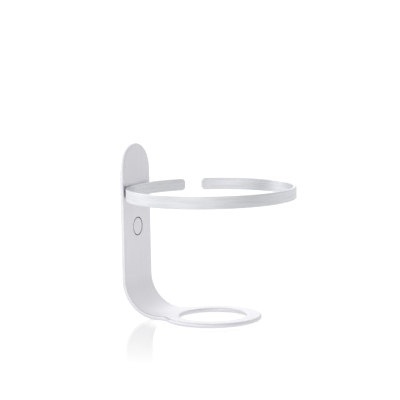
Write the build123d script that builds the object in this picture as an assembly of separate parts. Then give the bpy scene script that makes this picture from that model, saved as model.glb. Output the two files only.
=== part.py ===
from build123d import *
import math
import os

# Hair dryer holder. A bent strip of sheet aluminium lies against the wall and turns forward at its
# foot into a flat ring, which takes the dryer's nose. Near the top an open band goes round the
# dryer's barrel, and the slot in the band lets the cord through.
#
# Millimetres. The wall is the plane Y = 0, X runs along the wall and +Z is up. The origin is the
# middle of the adhesive pad's rear face, where the holder meets the wall.

# Bracket
sheet_thickness = 2.5
strip_width = 33.0
bracket_height = 103.0
bend_radius = 20.0  # inside of the bend
edge_radius = 1.0  # edges of the sheet, rounded all along

# Foot ring
foot_ring_radius = 28.5
nose_hole_radius = 20.0
neck_radius = 12.0  # concave sides between the strip and the ring

# Band
band_outer_radius = 50.0
band_thickness = 2.0
band_height = 7.0
band_centre_height = 75.0  # above the underside of the foot
band_edge_radius = 0.4
band_end_radius = 2.2  # rounded corners of the two ends
seat_depth = 0.4  # flat dressed on the band where it beds on the bracket
slot_bearing = 50.6  # degrees from the wall towards +X, seen from the ring's axis
slot_width = 10.5

# Rivets through the band and the bracket, dressed flush on both sides
rivet_radius = 1.25
rivet_head_radius = 2.2
rivet_spacing = 7.6

# Fixing hole and the disc that covers it
screw_height = 53.0  # above the underside of the foot
screw_hole_radius = 2.15
screw_head_radius = 3.75
cover_recess_radius = 5.65
cover_radius = 5.15  # leaves a narrow groove round the disc
cover_thickness = 0.5
cover_chamfer = 0.15

# Adhesive pad
pad_thickness = 1.0
pad_length = 73.0
pad_inset = 2.5  # inside the outline of the bracket
pad_corner_radius = 3.0
pad_hole_radius = 5.0

# Places worked out from the sizes above
half_width = strip_width / 2
top_z = pad_length / 2 + pad_inset
foot_z = top_z - bracket_height
plate_back_y = -pad_thickness
plate_front_y = plate_back_y - sheet_thickness
bend_outer_radius = bend_radius + sheet_thickness
bend_y = plate_back_y - bend_outer_radius
bend_z = foot_z + bend_outer_radius
ring_axis_y = plate_front_y - (band_outer_radius - seat_depth)
band_bore_radius = band_outer_radius - band_thickness
band_z = foot_z + band_centre_height
screw_z = foot_z + screw_height

# How closely an edge has to match when it is picked out by its length or its direction
length_tolerance = 0.001
parallel = 0.999


def upright(x, y, z):
    """Plane facing +Y, with its own x along -X and its own y along +Z."""
    return Plane(origin=(x, y, z), x_dir=(-1, 0, 0), z_dir=(0, 1, 0))


def round_topped(width, bottom_z, crown_z):
    """Upright outline with a straight foot and a half-round top."""
    radius = width / 2
    side = crown_z - radius - bottom_z
    slab = Pos(0, bottom_z + side / 2) * Rectangle(width, side)
    crown = Pos(0, crown_z - radius) * Circle(radius)
    return slab + crown


def wall_plate():
    outline = round_topped(strip_width, bend_z, top_z)
    return extrude(upright(0, plate_front_y, 0) * outline, sheet_thickness)


def bend():
    """Quarter turn that carries the strip from the wall to the foot."""
    section = Circle(bend_outer_radius) - Circle(bend_radius)
    quarter = Pos(bend_outer_radius / 2, -bend_outer_radius / 2) * Rectangle(
        bend_outer_radius, bend_outer_radius
    )
    side_view = Plane(origin=(-half_width, bend_y, bend_z), x_dir=(0, 1, 0), z_dir=(1, 0, 0))
    return extrude(side_view * (section & quarter), strip_width)


def neck_fillets():
    """Area between the strip and the ring, with its two concave sides cut away."""
    reach = foot_ring_radius + neck_radius
    offset = half_width + neck_radius
    start = math.sqrt(reach**2 - offset**2)
    touch = foot_ring_radius / reach
    depth = start * (1 - touch)
    web = Pos(0, start - depth / 2) * Rectangle(2 * offset * touch, depth)
    for side in (-1, 1):
        web -= Pos(side * offset, start) * Circle(neck_radius)
    return web


def foot():
    """Flat foot: the end of the strip, the flared neck and the ring with its hole."""
    strip_length = bend_y - ring_axis_y
    strip = Pos(0, strip_length / 2) * Rectangle(strip_width, strip_length)
    outline = strip + neck_fillets() + Circle(foot_ring_radius) - Circle(nose_hole_radius)
    return extrude(Plane(origin=(0, ring_axis_y, foot_z)) * outline, sheet_thickness)


def spans(edge, thickness):
    """True for an edge that runs straight through a plate of this thickness."""
    return abs(edge.length - thickness) < length_tolerance


def is_seam(edge):
    """True for an edge where two faces run smoothly into each other."""
    across = edge.geom_type == GeomType.LINE and abs(edge.tangent_at(0).X) > parallel
    return across or spans(edge, sheet_thickness)


def screw_seat():
    """Tool for the fixing hole: recess for the cover, countersink and through hole."""
    recess = extrude(Circle(cover_recess_radius), -cover_thickness)
    countersink_depth = screw_head_radius - screw_hole_radius
    sink = Pos(0, 0, -cover_thickness - countersink_depth / 2) * Cone(
        screw_hole_radius, screw_head_radius, countersink_depth
    )
    hole = extrude(Circle(screw_hole_radius), -sheet_thickness)
    front = Plane(origin=(0, plate_front_y, screw_z), x_dir=(1, 0, 0), z_dir=(0, -1, 0))
    return front * (recess + sink + hole)


def rivet(x):
    """Flush rivet: a shank with a countersunk head in the band and another in the bracket."""
    sink = rivet_head_radius - rivet_radius
    middle_y = plate_front_y - (band_thickness - seat_depth)
    proud = rivet_head_radius  # the front head is made long, then dressed to the bore
    length = plate_back_y - middle_y + proud
    shank = extrude(Circle(rivet_radius), -length)
    rear_head = Pos(0, 0, -sink / 2) * Cone(rivet_radius, rivet_head_radius, sink)
    front_cone = Cone(rivet_head_radius + proud, rivet_radius, sink + proud)
    front_head = Pos(0, 0, -length + (sink + proud) / 2) * front_cone
    body = upright(x, plate_back_y, band_z) * (shank + rear_head + front_head)
    return body - bore_of_band()


def bore_of_band():
    """The space inside the band."""
    height = 4 * band_height
    return Pos(0, ring_axis_y, band_z) * Cylinder(band_bore_radius, height)


def slot_cutter():
    """Wedge that opens the band: its sides are square to the bar at both ends."""
    far = 2 * band_outer_radius
    half_angle = math.degrees(math.asin(slot_width / 2 / (band_outer_radius - band_thickness / 2)))
    corners = [(0, 0)]
    for angle in (slot_bearing - half_angle, slot_bearing + half_angle):
        turn = math.radians(angle)
        corners.append((far * math.sin(turn), far * math.cos(turn)))
    wedge = make_face(Polyline(*corners, close=True))
    return Pos(0, ring_axis_y, band_z - band_height) * extrude(wedge, 2 * band_height)


def band():
    """Flat bar rolled into an open ring, with rounded ends and a flat where it beds."""
    ring = extrude(Circle(band_outer_radius) - Circle(band_bore_radius), band_height)
    ring = Pos(0, ring_axis_y, band_z - band_height / 2) * ring
    ring -= slot_cutter()
    corners = [edge for edge in ring.edges() if spans(edge, band_thickness)]
    ring = fillet(corners, band_end_radius)
    rims = [edge for edge in ring.edges() if not spans(edge, band_thickness)]
    ring = fillet(rims, band_edge_radius)
    behind = Pos(0, plate_front_y + band_thickness / 2, band_z) * Box(
        band_outer_radius, band_thickness, 2 * band_height
    )
    return ring - behind


def bracket():
    blank = wall_plate() + bend() + foot()
    edges = [edge for edge in blank.edges() if not is_seam(edge)]
    return fillet(edges, edge_radius) - screw_seat()


def screw_cover():
    disc = extrude(Circle(cover_radius), cover_thickness)
    disc = chamfer(disc.faces().sort_by(Axis.Z)[-1].edges(), cover_chamfer)
    seat = Plane(
        origin=(0, plate_front_y + cover_thickness, screw_z), x_dir=(1, 0, 0), z_dir=(0, -1, 0)
    )
    return seat * disc


def adhesive_pad():
    outline = round_topped(strip_width - 2 * pad_inset, -pad_length / 2, pad_length / 2)
    corners = outline.vertices().sort_by(Axis.Y)[:2]
    outline = fillet(corners, pad_corner_radius)
    outline -= Pos(0, screw_z) * Circle(pad_hole_radius)
    return extrude(upright(0, plate_back_y, 0) * outline, pad_thickness)


left_rivet = rivet(-rivet_spacing / 2)
right_rivet = rivet(rivet_spacing / 2)

os.makedirs("parts", exist_ok=True)
export_step(bracket() - left_rivet - right_rivet, "parts/bracket.step")
export_step(band() - left_rivet - right_rivet, "parts/cradle_band.step")
export_step(left_rivet, "parts/band_rivet_left.step")
export_step(right_rivet, "parts/band_rivet_right.step")
export_step(screw_cover(), "parts/screw_cover.step")
export_step(adhesive_pad(), "parts/adhesive_pad.step")
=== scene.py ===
import math

import bmesh
import bpy
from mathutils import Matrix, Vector, noise


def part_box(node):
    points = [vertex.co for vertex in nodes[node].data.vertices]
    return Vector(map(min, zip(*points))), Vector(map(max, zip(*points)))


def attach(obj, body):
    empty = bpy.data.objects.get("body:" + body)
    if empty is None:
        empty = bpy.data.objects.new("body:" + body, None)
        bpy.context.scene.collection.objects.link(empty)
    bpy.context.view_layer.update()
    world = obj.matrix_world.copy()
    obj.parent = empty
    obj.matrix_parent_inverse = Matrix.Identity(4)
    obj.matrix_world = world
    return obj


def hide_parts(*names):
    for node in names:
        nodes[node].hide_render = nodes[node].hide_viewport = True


# Hair dryer holder, standing on its foot ring in a soft white studio. The five metal pieces are the
# CAD's own meshes. The adhesive pad is made again here, as a foam pad.
#
# Metres. The wall is the plane Y = 0, the holder reaches out towards -Y, and +Z is up.

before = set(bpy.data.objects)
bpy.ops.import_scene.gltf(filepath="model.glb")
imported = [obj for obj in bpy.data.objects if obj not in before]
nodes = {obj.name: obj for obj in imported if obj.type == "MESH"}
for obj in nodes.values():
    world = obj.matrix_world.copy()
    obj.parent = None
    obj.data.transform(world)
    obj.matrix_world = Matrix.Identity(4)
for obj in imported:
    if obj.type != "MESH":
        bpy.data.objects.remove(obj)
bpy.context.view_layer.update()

MM = 0.001

# Places read from the frame
band_low, band_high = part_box("cradle_band")
cover_low, cover_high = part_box("screw_cover")
pad_low, pad_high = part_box("adhesive_pad")
floor_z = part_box("bracket")[0].z
band_radius = (band_high.x - band_low.x) / 2
ring_axis = Vector((band_low.x + band_radius, band_low.y + band_radius, 0))
cover_centre = (cover_low + cover_high) / 2

# Camera: a long lens from the front left, a little above the band
VIEW_AZIMUTH = math.radians(-63.205)  # from straight on; less than 0 is to the left
VIEW_ELEVATION = math.radians(6.971)
VIEW_ROLL = math.radians(-1.055)
VIEW_DISTANCE = 0.92066
LENS_MM = 142.65
SENSOR_MM = 36.0
aim = Vector((-0.0105, -0.051, floor_z + 0.07186))

# Studio: an even grey-white room with soft boxes in it. Each box has a bearing (degrees from +X
# towards +Y), a height (degrees), a tightness and a strength. The tighter it is, the smaller and
# sharper. "facing" is opposite the camera.
ROOM_LIGHT = 0.57
SOFT_BOXES = {
    "rear": (90, 5, 3.0, 0.77),
    "rear_high": (90, 30, 10.0, 0.65),
    "left": (180, 5, 3.0, 0.61),
    "left_low": (180, -20, 3.0, 0.64),
    "right": (330, 30, 3.0, 0.37),
    "right_rear": (30, 30, 10.0, 0.66),
    "facing": (27, 5, 30.0, 0.35),
}
BACKDROP_LIGHT = 1.1
WHITE = (1, 1, 1, 1)

# Floor. The gloss comes in outside the foot ring and fades away; both pairs are distances from the
# point under the band's middle. The gloss adds light, so the floor glows less where it lies.
GLOSS_START = (0.033, 0.044)
GLOSS_FADE = (0.05, 0.15)
GLOW_IN_GLOSS = 0.66
GLOW_BEYOND = 0.76
FLOOR_GREY = (0.30, 0.30, 0.30, 1)
FLOOR_RADIUS = 0.8
FLOOR_GAP = 0.05 * MM  # below the holder, which keeps the two faces apart

# Adhesive pad
PAD_CORNER_RADIUS = 3.0 * MM
PAD_HOLE_RADIUS = 5.0 * MM
PAD_BULGE = 0.22 * MM  # how far the cut edge stands out past the two faces
BULGE_ANGLES = (-75, -60, -40, -20, 0, 20, 40, 60, 75)  # degrees, across the cut edge
PAD_RIPPLE = 0.03 * MM  # the deepest that the ripple dips
PAD_RIPPLE_CYCLES = 160  # a metre
PAD_ROWS = 12  # from the edge to the hole
CORNER_STEPS = 14
CROWN_STEPS = 56
SIDE_STEPS = 24
FOOT_STEPS = 12

# Satin anodised aluminium. The grain makes grain_share of the tone, and a soft cloud makes the
# rest. The spread stretches highlights across the grain.
STRIP_METAL = {
    "alloy": (0.738, 0.733, 0.766, 1.0),
    "clouded": (0.698, 0.693, 0.726, 1.0),
    "rough": 0.50,
    "grain_share": 0.55,
}
BAND_METAL = {
    "alloy": (0.752, 0.756, 0.782, 1.0),
    "clouded": (0.588, 0.592, 0.620, 1.0),
    "rough": 0.44,
    "grain_share": 0.80,
    "spread": 0.8,
}
ALLOY_WORN = (0.765, 0.760, 0.795, 1.0)
TONE_SPAN = (0.3, 0.7)  # values of the tone that are fully clouded and fully clear
ROUGH_SWING = 0.16  # how much rougher the most clouded metal is than the clearest
EDGE_POLISH = 0.12  # how much smoother a worn edge is
EDGE_REACH = 0.5 * MM  # an edge sharper than this is worn
EDGE_TURN = (0.86, 0.995)  # cosine between the rounded normal and the true one: edge, face
EDGE_SPECK = (0.3, 0.6)  # values of the speck between which wear grows
LEAST_WEAR = 0.4  # share of the wear that every edge has

# Pattern cycles a metre along X, Y and Z. GRAIN_ROUND goes with the Z that Finish.rings makes.
GRAIN_ALONG = (900, 14, 14)
GRAIN_ROUND = (45, 45, 1400)
CLOUD_CYCLES = (34, 34, 34)
SPECK_CYCLES = (5200, 5200, 5200)

# Painted shade in joints narrower than JOINT_REACH, where ambient occlusion finds them. Each pair is
# the openness below which a joint is fully shaded and the one above which it is unshaded. The groove
# round the cover gets the darkest painted shade.
JOINT_REACH = 1.0 * MM
JOINT_PAINTED_SHADE = (0.60, 0.60, 0.65, 1.0)
JOINT_OPENNESS = (0.35, 0.85)
# Near-black painted shade in the groove round the cover
GROOVE_PAINTED_SHADE = (0.008, 0.008, 0.010, 1.0)
GROOVE_OPENNESS = (0.60, 0.97)
GROOVE_END = (6 * MM, 8 * MM)  # distances from the cover's middle
CONTACT_END = (3 * MM, 5 * MM)  # heights above the floor; where the metal meets it is no joint

# Acrylic foam
FOAM_DARK = (0.022, 0.023, 0.025, 1.0)
FOAM = (0.036, 0.037, 0.040, 1.0)
FOAM_CELL = (0.060, 0.061, 0.065, 1.0)
FOAM_CLOUD_CYCLES = (70, 70, 70)
FOAM_RIPPLE_CYCLES = (420, 420, 420)
FOAM_CELLS = 3000  # a metre
FOAM_SPAN = (0.35, 0.65)  # values of the cloud that are fully dark and fully light
FACE_TURN = (0.75, 0.97)  # Y of the normal: on the cut edge, on a face
CUT_ROUGH = 0.84
FACE_SHINE = 0.40  # how much smoother the faces are than the cut edges
CLOUD_ROUGH = 0.14  # what the cloud adds at most


def make_camera():
    """Camera that looks at the aim from the left and a little above."""
    out = math.cos(VIEW_ELEVATION)
    back = Vector(
        (math.sin(VIEW_AZIMUTH) * out, -math.cos(VIEW_AZIMUTH) * out, math.sin(VIEW_ELEVATION))
    )
    data = bpy.data.cameras.new("camera")
    data.lens = LENS_MM
    data.sensor_width = SENSOR_MM
    camera = bpy.data.objects.new("camera", data)
    bpy.context.scene.collection.objects.link(camera)
    camera.location = aim + back * VIEW_DISTANCE
    camera.rotation_euler = (-back).to_track_quat("-Z", "Y").to_euler("XYZ")
    camera.rotation_euler.rotate_axis("Z", VIEW_ROLL)
    bpy.context.scene.camera = camera


class NodeTree:
    """Short calls that add nodes to a material's or a world's tree."""

    def __init__(self, owner):
        owner.use_nodes = True
        self.tree = owner.node_tree

    def add(self, kind, **settings):
        node = self.tree.nodes.new("ShaderNode" + kind)
        for name, value in settings.items():
            setattr(node, name, value)
        return node

    def fill(self, target, value):
        """Sets a socket to a value, or links it to another node's output."""
        if isinstance(value, bpy.types.NodeSocket):
            self.tree.links.new(value, target)
        else:
            target.default_value = value

    def math(self, operation, *values):
        node = self.add("Math", operation=operation)
        for target, value in zip(node.inputs, values):
            self.fill(target, value)
        return node.outputs["Value"]

    def vector(self, operation, *values, result="Vector"):
        node = self.add("VectorMath", operation=operation)
        for target, value in zip(node.inputs, values):
            self.fill(target, value)
        return node.outputs[result]


class Finish(NodeTree):
    """A material's nodes, built round its Principled shader."""

    def __init__(self, material):
        super().__init__(material)
        self.surface = self.tree.nodes["Principled BSDF"].inputs
        self.where = self.add("TexCoord").outputs["Object"]

    def noise(self, where, cycles, detail=2.0, rough=0.5):
        """Noise from 0 to 1, with its cycles a metre along X, Y and Z."""
        node = self.add("TexNoise")
        self.fill(node.inputs["Vector"], self.vector("MULTIPLY", where, cycles))
        node.inputs["Scale"].default_value = 1.0
        node.inputs["Detail"].default_value = detail
        node.inputs["Roughness"].default_value = rough
        return node.outputs["Fac"]

    def rings(self, centre, across):
        """Position from centre, with the distance from an axis added to its Z or put in its place.

        Lines of equal Z then run round the axis. across is 0 along the axis, Y or Z, and 1 across it.
        """
        offset = self.vector("SUBTRACT", self.where, centre)
        radius = self.vector("MULTIPLY", offset, across)
        length = self.vector("LENGTH", radius, result="Value")
        parts = self.add("SeparateXYZ")
        self.fill(parts.inputs[0], offset)
        joined = self.add("CombineXYZ")
        self.fill(joined.inputs["X"], parts.outputs["X"])
        self.fill(joined.inputs["Y"], parts.outputs["Y"])
        along = parts.outputs["Z"] if across[2] == 0 else 0.0
        self.fill(joined.inputs["Z"], self.math("ADD", length, along))
        return joined.outputs["Vector"]

    def remap(self, value, start, end, low=0.0, high=1.0):
        """Carries value from start..end to low..high, and holds it at both."""
        node = self.add("MapRange")
        limits = {"From Min": start, "From Max": end, "To Min": low, "To Max": high}
        self.fill(node.inputs["Value"], value)
        for name, limit in limits.items():
            self.fill(node.inputs[name], limit)
        return node.outputs["Result"]

    def mix(self, amount, a, b):
        """Colour that goes from a to b as amount goes from 0 to 1."""
        node = self.add("MixRGB")
        for target, value in zip(node.inputs, (amount, a, b)):
            self.fill(target, value)
        return node.outputs["Color"]

    def bump(self, height, distance, strength, under=None):
        node = self.add("Bump")
        node.inputs["Strength"].default_value = strength
        node.inputs["Distance"].default_value = distance
        self.fill(node.inputs["Height"], height)
        if under:
            self.fill(node.inputs["Normal"], under)
        return node.outputs["Normal"]

    def openness(self, reach):
        """1 in the open, falling towards 0 deep in a joint narrower than reach."""
        node = self.add("AmbientOcclusion", samples=8)
        node.inputs["Distance"].default_value = reach
        return node.outputs["AO"]

    def near_floor(self):
        """1 at the floor, 0 from a few millimetres above it."""
        height = self.add("SeparateXYZ")
        self.fill(height.inputs[0], self.where)
        start, end = (floor_z + clearance for clearance in CONTACT_END)
        return self.remap(height.outputs["Z"], start, end, low=1.0, high=0.0)

    def edges(self, radius):
        """1 along an edge sharper than radius, 0 on a face."""
        bevel = self.add("Bevel", samples=6)
        bevel.inputs["Radius"].default_value = radius
        face = self.add("NewGeometry").outputs["Normal"]
        alike = self.vector("DOT_PRODUCT", bevel.outputs["Normal"], face, result="Value")
        return self.remap(alike, *EDGE_TURN, low=1.0, high=0.0)


def with_painted_shade(f, body):
    """Body colour with painted shade, darkened by ambient occlusion, in the joints, and the darkest
    painted shade in the groove round the cover.
    """
    from_cover = f.vector("DISTANCE", f.where, tuple(cover_centre), result="Value")
    elsewhere = f.remap(from_cover, *GROOVE_END)
    pairs = zip(GROOVE_OPENNESS, JOINT_OPENNESS)
    fully_shaded, unshaded = [f.remap(elsewhere, 0, 1, low=groove, high=joint) for groove, joint in pairs]
    clear = f.math("MAXIMUM", f.remap(f.openness(JOINT_REACH), fully_shaded, unshaded), f.near_floor())
    return f.mix(clear, f.mix(elsewhere, GROOVE_PAINTED_SHADE, JOINT_PAINTED_SHADE), body)


def anodise(material, cycles, axis, alloy, clouded, rough, grain_share, spread=0.0):
    """Satin anodised aluminium: a clouded tone, a drawn grain, a blasted speck, worn edges and
    painted shade in the joints.

    The grain runs round the axis, if there is one.
    """
    f = Finish(material)
    cloud = f.noise(f.where, CLOUD_CYCLES, detail=3.0)
    grain = f.noise(f.rings(*axis) if axis else f.where, cycles, detail=4.0, rough=0.65)
    speck = f.noise(f.where, SPECK_CYCLES, detail=2.0, rough=0.6)
    tone = f.math("MULTIPLY_ADD", grain, grain_share, f.math("MULTIPLY", cloud, 1 - grain_share))
    edges = f.edges(EDGE_REACH)
    worn = f.math("MULTIPLY", edges, f.remap(speck, *EDGE_SPECK, low=LEAST_WEAR))
    body = f.mix(worn, f.mix(f.remap(tone, *TONE_SPAN), clouded, alloy), ALLOY_WORN)
    # The base colour carries painted shade in the narrow joints and in the groove round the cover
    f.fill(f.surface["Base Color"], with_painted_shade(f, body))
    f.surface["Metallic"].default_value = 1.0
    dull = f.math("MULTIPLY_ADD", tone, -ROUGH_SWING, rough + ROUGH_SWING / 2)
    f.fill(f.surface["Roughness"], f.math("MULTIPLY_ADD", edges, -EDGE_POLISH, dull))
    blasted = f.bump(speck, distance=0.02 * MM, strength=0.35)
    f.fill(f.surface["Normal"], f.bump(grain, distance=0.03 * MM, strength=0.5, under=blasted))
    if spread:
        f.surface["Anisotropic"].default_value = spread
        f.surface["Anisotropic Rotation"].default_value = 0.25  # a quarter turn
        f.fill(f.surface["Tangent"], f.add("Tangent", direction_type="RADIAL").outputs["Tangent"])


def finish_metal():
    """The bracket's grain runs up the wall and along the foot, the others' round an axis."""
    round_band = (tuple(ring_axis), (1, 1, 0))
    round_cover = (tuple(cover_centre), (1, 0, 1))
    metal = {name: node.data.materials[0] for name, node in nodes.items()}
    anodise(metal["bracket"], GRAIN_ALONG, None, **STRIP_METAL)
    anodise(metal["screw_cover"], GRAIN_ROUND, round_cover, **STRIP_METAL)
    anodise(metal["cradle_band"], GRAIN_ROUND, round_band, **BAND_METAL)
    # The two rivets share one material
    anodise(metal["band_rivet_left"], GRAIN_ROUND, round_band, **BAND_METAL)


def foam():
    """Closed-cell acrylic foam: tacky, shinier faces and open cells along the cut edges."""
    material = bpy.data.materials.new("foam")
    f = Finish(material)
    cells = f.add("TexVoronoi")
    f.fill(cells.inputs["Vector"], f.where)
    cells.inputs["Scale"].default_value = FOAM_CELLS
    pores = cells.outputs["Distance"]
    cloud = f.noise(f.where, FOAM_CLOUD_CYCLES, detail=4.0)
    ripple = f.noise(f.where, FOAM_RIPPLE_CYCLES)
    parts = f.add("SeparateXYZ")
    f.fill(parts.inputs[0], f.add("TexCoord").outputs["Normal"])
    face = f.remap(f.math("ABSOLUTE", parts.outputs["Y"]), *FACE_TURN)
    body = f.mix(f.remap(cloud, *FOAM_SPAN), FOAM_DARK, FOAM)
    f.fill(f.surface["Base Color"], f.mix(pores, body, FOAM_CELL))
    shine = f.math("MULTIPLY_ADD", cloud, CLOUD_ROUGH, f.math("MULTIPLY", face, -FACE_SHINE))
    f.fill(f.surface["Roughness"], f.math("ADD", shine, CUT_ROUGH))
    pitted = f.bump(pores, distance=0.12 * MM, strength=0.7)
    f.fill(f.surface["Normal"], f.bump(ripple, distance=0.06 * MM, strength=0.5, under=pitted))
    return material


def between(a, b, share):
    """Point in X and Z on the way from a to b."""
    return (a[0] + (b[0] - a[0]) * share, a[1] + (b[1] - a[1]) * share)


def straight(a, b, steps):
    """Points from a to b, without the ends."""
    return [between(a, b, i / steps) for i in range(1, steps)]


def arc(x, z, radius, start, end, steps):
    """Points round (x, z), from one angle in degrees to another."""
    angles = [math.radians(start + (end - start) * i / steps) for i in range(steps + 1)]
    return [(x + radius * math.cos(a), z + radius * math.sin(a)) for a in angles]


def pad_outline(inset):
    """The pad's outline in X and Z, moved in by inset, from the lower right corner round."""
    half = pad_high.x - inset
    corner = PAD_CORNER_RADIUS - inset
    corner_z = pad_low.z + PAD_CORNER_RADIUS
    right = arc(half - corner, corner_z, corner, -90, 0, CORNER_STEPS)
    crown = arc(0, pad_high.z - pad_high.x, half, 0, 180, CROWN_STEPS)
    left = arc(corner - half, corner_z, corner, 180, 270, CORNER_STEPS)
    outline = right + straight(right[-1], crown[0], SIDE_STEPS) + crown
    outline += straight(crown[-1], left[0], SIDE_STEPS) + left
    return outline + straight(left[-1], right[0], FOOT_STEPS)


def pad_hole_outline(growth):
    """Points round the screw hole, each in line with one of the outline's."""
    radius = PAD_HOLE_RADIUS + growth
    turns = [math.atan2(z - cover_centre.z, x) for x, z in pad_outline(0)]
    return [(radius * math.cos(a), cover_centre.z + radius * math.sin(a)) for a in turns]


def pad_face(y, inward):
    """Loops from the pad's edge to its hole on one face, with a soft ripple pressed into it."""
    loops = []
    outer = pad_outline(PAD_BULGE)
    inner = pad_hole_outline(PAD_BULGE)
    for i in range(PAD_ROWS + 1):
        flat = [between(a, b, i / PAD_ROWS) for a, b in zip(outer, inner)]
        ripple = [abs(noise.noise(Vector((x, y, z)) * PAD_RIPPLE_CYCLES)) for x, z in flat]
        loops.append([(x, y + inward * PAD_RIPPLE * dip, z) for (x, z), dip in zip(flat, ripple)])
    return loops


def cut_edge(outline):
    """Loops across the thickness, from the wall's side to the bracket's, that bulge between."""
    middle = (pad_low.y + pad_high.y) / 2
    half = (pad_high.y - pad_low.y) / 2
    loops = []
    for angle in BULGE_ANGLES:
        a = math.radians(angle)
        points = outline(PAD_BULGE * (1 - math.cos(a)))
        loops.append([(x, middle - half * math.sin(a), z) for x, z in points])
    return loops


def make_pad():
    """Die-cut foam pad between the bracket and the wall, with a hole for the screw."""
    loops = cut_edge(pad_outline)
    loops += pad_face(pad_low.y, 1)
    loops += reversed(cut_edge(pad_hole_outline))
    loops += reversed(pad_face(pad_high.y, -1))
    bm = bmesh.new()
    rings = [[bm.verts.new(point) for point in loop] for loop in loops]
    for ring, following in zip(rings, rings[1:] + rings[:1]):
        count = len(ring)
        for i in range(count):
            j = (i + 1) % count
            bm.faces.new((ring[i], ring[j], following[j], following[i]))
    bmesh.ops.recalc_face_normals(bm, faces=bm.faces)
    mesh = bpy.data.meshes.new("foam_pad")
    bm.to_mesh(mesh)
    bm.free()
    mesh.shade_smooth()
    mesh.materials.append(foam())
    pad = bpy.data.objects.new("foam_pad", mesh)
    bpy.context.scene.collection.objects.link(pad)
    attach(pad, "root")
    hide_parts("adhesive_pad")


def acrylic():
    """Glowing white acrylic, with a clear gloss in a ring round the holder's foot."""
    material = bpy.data.materials.new("acrylic")
    f = Finish(material)
    away = f.vector("LENGTH", f.where, result="Value")
    fading = f.remap(away, *GLOSS_FADE, low=1.0, high=0.0)
    gloss = f.math("MINIMUM", f.remap(away, *GLOSS_START), fading)
    glow = f.remap(gloss, 0, 1, low=GLOW_BEYOND, high=GLOW_IN_GLOSS)
    f.surface["Base Color"].default_value = FLOOR_GREY
    f.surface["Roughness"].default_value = 0.6
    f.surface["Specular IOR Level"].default_value = 0.0
    f.surface["Emission Color"].default_value = WHITE
    f.fill(f.surface["Emission Strength"], glow)
    f.fill(f.surface["Coat Weight"], gloss)
    f.surface["Coat Roughness"].default_value = 0.05
    f.surface["Coat IOR"].default_value = 1.8
    return material


def make_floor():
    """Round floor, far wider than the picture, just below the foot."""
    bm = bmesh.new()
    bmesh.ops.create_circle(bm, cap_ends=True, segments=128, radius=FLOOR_RADIUS)
    mesh = bpy.data.meshes.new("floor")
    bm.to_mesh(mesh)
    bm.free()
    mesh.materials.append(acrylic())
    floor = bpy.data.objects.new("floor", mesh)
    floor.location = (0, ring_axis.y, floor_z - FLOOR_GAP)
    bpy.context.scene.collection.objects.link(floor)


def make_studio():
    """Broad soft light all round, and a plain white backdrop where the camera looks past it."""
    world = bpy.data.worlds.new("studio")
    w = NodeTree(world)
    direction = w.add("TexCoord").outputs["Generated"]
    light = ROOM_LIGHT
    for bearing, height, tightness, strength in SOFT_BOXES.values():
        turn, rise = math.radians(bearing), math.radians(height)
        box = (math.cos(turn) * math.cos(rise), math.sin(turn) * math.cos(rise), math.sin(rise))
        near = w.math("SUBTRACT", w.vector("DOT_PRODUCT", direction, box, result="Value"), 1.0)
        glow = w.math("EXPONENT", w.math("MULTIPLY", near, tightness))
        light = w.math("MULTIPLY_ADD", glow, strength, light)
    room = w.tree.nodes["Background"]
    room.inputs["Color"].default_value = WHITE
    w.fill(room.inputs["Strength"], light)
    backdrop = w.add("Background")
    backdrop.inputs["Color"].default_value = WHITE
    backdrop.inputs["Strength"].default_value = BACKDROP_LIGHT
    seen = w.add("MixShader")
    w.fill(seen.inputs[0], w.add("LightPath").outputs["Is Camera Ray"])
    w.fill(seen.inputs[1], room.outputs["Background"])
    w.fill(seen.inputs[2], backdrop.outputs["Background"])
    w.fill(w.tree.nodes["World Output"].inputs["Surface"], seen.outputs["Shader"])
    bpy.context.scene.world = world
    bpy.context.scene.view_settings.view_transform = "Standard"


make_camera()
finish_metal()
make_pad()
make_floor()
make_studio()
